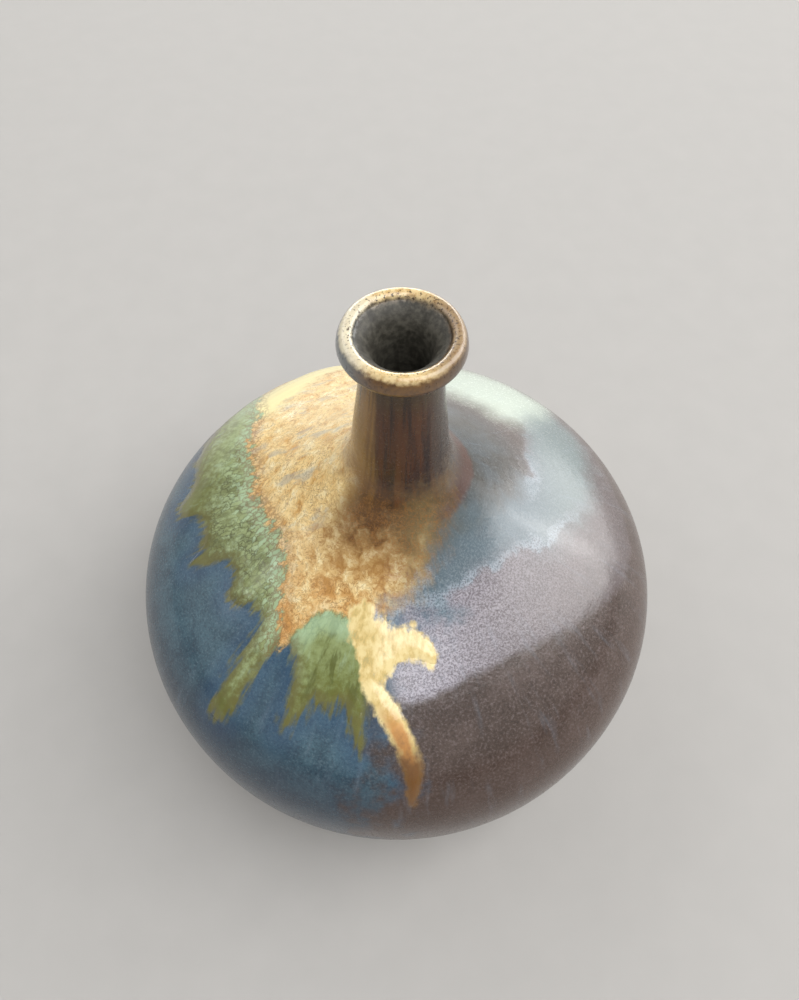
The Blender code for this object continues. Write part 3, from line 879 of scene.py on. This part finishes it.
def make_glaze(name, roughness):
    """The glaze of the outside, by where each point lies in the layout."""
    s = Shades(name)
    place = s.scaled(s.place(), (1 / MM,) * 3)
    flow = s.attribute("flow", True)
    plan = s.attribute("plan", True)
    ragged = s.noise(place, 0.34, 3.0, 0.6)
    feather = s.noise(s.scaled(flow, (1, 1, 0.3)), 1.0, 3.0, 0.6)
    wander = s.add(s.spread(ragged, 0.3, 0.7, -1.2, 1.2), s.spread(feather, 0.3, 0.7, -0.8, 0.8))
    mosaic = s.shifted(s.scaled(flow, (1.15, 1.15, 0.5)), s.noise(place, 0.6, 4.0, 0.65, colour=True), 2.2)
    at_left = s.ease(s.part(plan, "X"), -17, -24)
    tile, tile_edge = s.tiles(mosaic)
    fingers = s.noise(s.scaled(flow, (1.2, 1.2, 0.1)), 1.0, 2.0, 0.5)
    pour_edge = s.add(s.attribute("pour_mm"), s.times(wander, 0.5), s.spread(fingers, 0.3, 0.7, -1.3, 1.3))
    tan_edge = s.add(s.attribute("tan_mm"), s.times(s.spread(tile, 0, 1, -1.2, 1.2), at_left), s.times(wander, 0.4))
    along_run = s.spread(s.attribute("plan_radius"), 34, 42, 0.7, 0.4)
    cream_edge = s.add(s.attribute("cream_mm"), s.times(wander, along_run))
    beside_green = s.ease(s.part(plan, "X"), -3.5, -6.5)
    colour = base_colour(s, place, flow)
    green = green_colour(s, place, flow, tan_edge, tile, tile_edge)
    in_pour = s.ease(pour_edge, -1.1, 1.1)
    colour = s.mix(s.times(in_pour, beside_green), colour, green)
    near = s.times(s.ease(s.attribute("tan_mm"), -4.5, -1.5), s.ease(s.attribute("tan_mm"), 3.5, 1.5))
    outline = s.times(near, s.ease(tile_edge, 0.2, 0.02), at_left)
    sharp = s.ease(tan_edge, -0.5, 0.5)
    soft = s.ease(s.add(s.attribute("tan_mm"), s.times(wander, 1.2)), -3.0, 3.5)
    in_tan = s.mix(beside_green, soft, sharp)
    colour = s.mix(in_tan, colour, tan_colour(s, place, flow))
    colour = s.mix(s.times(outline, beside_green, in_pour, 0.5), colour, (132, 90, 44))
    colour = s.mix(s.ease(cream_edge, -0.7, 0.6), colour, cream_colour(s, place, flow))
    neck = s.ease(s.add(s.attribute("level_mm"), s.spread(ragged, 0.3, 0.7, -2.5, 2.5)), 84, 95)
    colour = s.mix(neck, colour, neck_colour(s, place, flow))
    pits = s.noise(place, 1.7, 3.0, 0.6)
    orange_peel = s.noise(place, 0.5, 2.0, 0.5)
    height = s.add(s.times(pits, 0.5), s.times(orange_peel, 0.5))
    normal = s.bump(height, 0.00005, 1.0)
    rough = s.spread(pits, 0.3, 0.7, roughness - 0.04, roughness + 0.06)
    radius = s.attribute("plan_radius")
    thin_coat = s.math("MAXIMUM", s.math("MAXIMUM", neck, s.ease(radius, 24, 15)), s.ease(radius, 46, 58))
    s.put(s.shader.inputs["Coat Weight"], s.spread(thin_coat, 0, 1, COAT_WEIGHT, THIN_COAT_WEIGHT))
    s.shader.inputs["Coat Roughness"].default_value = COAT_ROUGHNESS
    s.shader.inputs["Coat IOR"].default_value = COAT_IOR
    return s.finish(colour, rough, normal)


def make_rim_material():
    """Cream on top with dark specks, tan and brown outside, mottled grey down the mouth."""
    s = Shades("rim_glaze_fine")
    place = s.scaled(s.place(), (1 / MM,) * 3)
    level = s.attribute("level_mm")
    radius = s.attribute("radius_mm")
    inside = s.attribute("inside")
    around = s.attribute("around", True)
    mottle = s.noise(place, 0.9, 4.0, 0.6)
    drift = s.spread(mottle, 0.3, 0.7, -1, 1)
    outer = s.mix(s.ease(mottle, 0.35, 0.65), (82, 52, 12), (116, 80, 28))
    left = s.ease(s.part(around, "X"), -0.35, -0.9)
    right = s.ease(s.part(around, "X"), 0.2, 0.85)
    back = s.ease(s.part(around, "Y"), 0.0, 0.8)
    outer = s.mix(s.times(left, 0.85), outer, (112, 120, 122))
    outer = s.mix(s.times(right, 0.7), outer, (74, 60, 46))
    outer = s.mix(s.times(back, 0.7), outer, (128, 118, 98))
    cream = s.mix(s.ease(mottle, 0.35, 0.6), (202, 166, 106), (226, 202, 150))
    cream = s.mix(s.times(right, 0.8), cream, (128, 102, 76))
    cream = s.mix(s.times(left, 0.7), cream, (214, 211, 192))
    top = s.ease(s.add(level, s.times(drift, 0.25)), 122.6, 123.4)
    colour = s.mix(top, outer, cream)
    down = s.times(inside, s.ease(s.add(radius, s.times(drift, 0.3)), 8.2, 7.3))
    colour = s.mix(down, colour, inner_colour(s, place))
    specks = s.noise(place, 2.2, 2.0, 0.6)
    edge = s.times(s.ease(radius, 9.9, 8.6), s.ease(radius, 6.9, 7.6), s.ease(level, 122.2, 122.6))
    dark = s.times(s.ease(specks, 0.56, 0.63), s.add(s.times(edge, 0.8), 0.1))
    colour = s.mix(dark, colour, (52, 32, 18))
    height = s.noise(place, 1.1, 3.0, 0.6)
    s.put(s.shader.inputs["Coat Weight"], s.spread(down, 0, 1, COAT_WEIGHT, 0.05))
    s.shader.inputs["Coat Roughness"].default_value = COAT_ROUGHNESS
    s.shader.inputs["Coat IOR"].default_value = COAT_IOR
    rough = s.add(s.spread(mottle, 0.3, 0.7, 0.24, 0.36), s.times(down, 0.25))
    return s.finish(colour, rough, s.bump(height, 0.00008, 0.8))


def inner_colour(s, place):
    """The mottled satin grey of the mouth and the throat."""
    mottle = s.noise(place, 0.9, 4.0, 0.6)
    runs = s.noise(s.scaled(place, (1, 1, 0.15)), 0.8, 3.0, 0.6)
    grey = s.mix(s.ease(mottle, 0.35, 0.68), (56, 54, 47), (88, 85, 76))
    return s.mix(s.times(s.ease(runs, 0.5, 0.3), 0.5), grey, (38, 35, 29))


def make_liner_material():
    s = Shades("liner_glaze_fine")
    place = s.scaled(s.place(), (1 / MM,) * 3)
    grain = s.noise(place, 1.1, 3.0, 0.6)
    return s.finish(inner_colour(s, place), s.spread(grain, 0.3, 0.7, 0.49, 0.61), s.bump(grain, 0.00008, 0.8))


def make_clay_material():
    """Warm buff stoneware with iron specks, sanded smooth where it was trimmed."""
    s = Shades("bare_clay_fine")
    place = s.scaled(s.place(), (1 / MM,) * 3)
    cloud = s.noise(place, 0.12, 3.0, 0.6)
    grain = s.noise(place, 2.4, 3.0, 0.7)
    specks = s.cells(place, 0.55)
    rings = s.noise(s.scaled(place, (0.05, 0.05, 3.0)), 1.0, 2.0, 0.6)
    colour = s.mix(s.ease(cloud, 0.35, 0.65), (166, 128, 94), (190, 154, 118))
    colour = s.mix(s.times(s.ease(grain, 0.55, 0.75), 0.4), colour, (214, 184, 148))
    colour = s.mix(s.times(s.ease(specks, 0.16, 0.08), 0.8), colour, (70, 44, 30))
    height = s.add(s.times(grain, 0.7), s.times(rings, 0.5))
    return s.finish(colour, s.spread(grain, 0.3, 0.7, 0.72, 0.9), s.bump(height, 0.00015, 0.7))


def make_floor_material():
    s = Shades("studio_floor")
    grain = s.noise(s.place(), 90.0, 2.0, 0.5)
    colour = s.mix(s.spread(grain, 0.3, 0.7, 0.0, 1.0), (172, 170, 167), (175, 173, 170))
    # The wall beyond the lights glows softly by its own emission, so that it stays pale where little of the lights'
    # own light falls.
    s.shader.inputs["Emission Color"].default_value = linear((245, 244, 242))
    rise = s.part(s.place(), "Z")
    s.put(s.shader.inputs["Emission Strength"], s.times(s.ease(rise, 0, COVE_SWEEP), WALL_GLOW))
    return s.finish(colour, s.spread(grain, 0.3, 0.7, 0.7, 0.8))


def put_on(material, *objects):
    for obj in objects:
        obj.data.materials.clear()
        obj.data.materials.append(material)


def make_camera():
    forward = Vector((
        math.sin(CAMERA_PAN) * math.cos(CAMERA_PITCH),
        math.cos(CAMERA_PAN) * math.cos(CAMERA_PITCH),
        -math.sin(CAMERA_PITCH),
    ))
    level = Vector((math.cos(CAMERA_PAN), -math.sin(CAMERA_PAN), 0))
    above = level.cross(forward)
    across = math.cos(CAMERA_ROLL) * level + math.sin(CAMERA_ROLL) * above
    up = -math.sin(CAMERA_ROLL) * level + math.cos(CAMERA_ROLL) * above
    data = bpy.data.cameras.new("camera")
    data.lens = CAMERA_LENS
    data.sensor_width = 36
    camera = bpy.data.objects.new("camera", data)
    bpy.context.scene.collection.objects.link(camera)
    camera.matrix_world = Matrix.Translation(CAMERA_PLACE) @ Matrix((across, up, -forward)).transposed().to_4x4()
    bpy.context.scene.camera = camera


def make_area_light(name, corner, along, across, radiance, colour):
    """A rectangular soft light from one corner and its two edge vectors; it shines along their cross product."""
    corner, along, across = (Vector(edge) * LIGHT_DISTANCE for edge in (corner, along, across))
    corner += LIGHT_CENTRE
    data = bpy.data.lights.new(name, "AREA")
    data.shape = "RECTANGLE"
    data.size = along.length
    data.size_y = across.length
    data.energy = radiance * math.pi * data.size * data.size_y
    data.color = colour
    light = bpy.data.objects.new(name, data)
    bpy.context.scene.collection.objects.link(light)
    x = along.normalized()
    y = across.normalized()
    z = x.cross(y)
    middle = corner + along / 2 + across / 2
    if z.dot(middle) < 0:
        x, z = -x, -z
    light.matrix_world = Matrix.Translation(middle) @ Matrix((x, y, z)).transposed().to_4x4()
    light.visible_camera = False


def make_lights():
    """A big softbox overhead and to the right, a wall panel beside it, and a low bright window behind."""
    make_area_light(
        "overhead_softbox", (-0.045, -0.67, 0.60), (1.35, 1.035, -0.48), (-0.185, 0.479, 0.522), 3.0, (1, 0.99, 0.98),
    )
    make_area_light("side_panel", (1.25, 0.44, 0.0), (-0.6, 0.76, 0), (0, 0, 0.6), 2.4, (1, 0.99, 0.98))
    make_area_light("window", (-0.66, 1.2, 0.0), (1.32, 0.0, 0), (0, 0, 0.42), 5.4, (1, 1, 0.98))
    make_area_light("left_fill", (-1.2, -0.1, 0.55), (0.75, 1.15, 0), (0.25, -0.16, 0.5), 1.3, (1, 1, 1))
    world = bpy.data.worlds.new("studio")
    bpy.context.scene.world = world
    world.use_nodes = True
    background = world.node_tree.nodes["Background"]
    background.inputs["Color"].default_value = (0.86, 0.88, 0.92, 1)
    background.inputs["Strength"].default_value = 0.25
    bpy.context.scene.view_settings.view_transform = "Standard"


def main():
    make_camera()
    coat, pour, lip = make_coat(), make_pour(), make_lip()
    liner, foot, bowl = make_liner(), make_foot(), make_bare_bowl()
    floor = make_floor()
    put_on(make_glaze("base_glaze_fine", 0.24), coat)
    put_on(make_glaze("poured_glaze_fine", 0.20), pour)
    put_on(make_rim_material(), lip)
    put_on(make_liner_material(), liner)
    clay = make_clay_material()
    hidden = [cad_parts[name] for name in ("shoulder", "neck_collar", "neck")]
    put_on(clay, foot, bowl, *hidden)
    put_on(make_floor_material(), floor)
    for piece, node, slot in (
        (coat, "outer_glaze", "base_glaze"),
        (pour, "poured_glaze", "poured_glaze"),
        (lip, "rim_lip", "rim_glaze"),
        (liner, "liner_glaze", "liner_glaze"),
        (foot, "foot_ring", "bare_clay"),
        (bowl, "lower_bowl", "bare_clay"),
    ):
        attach(piece, "root")
        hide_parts(node)
    make_lights()


main()
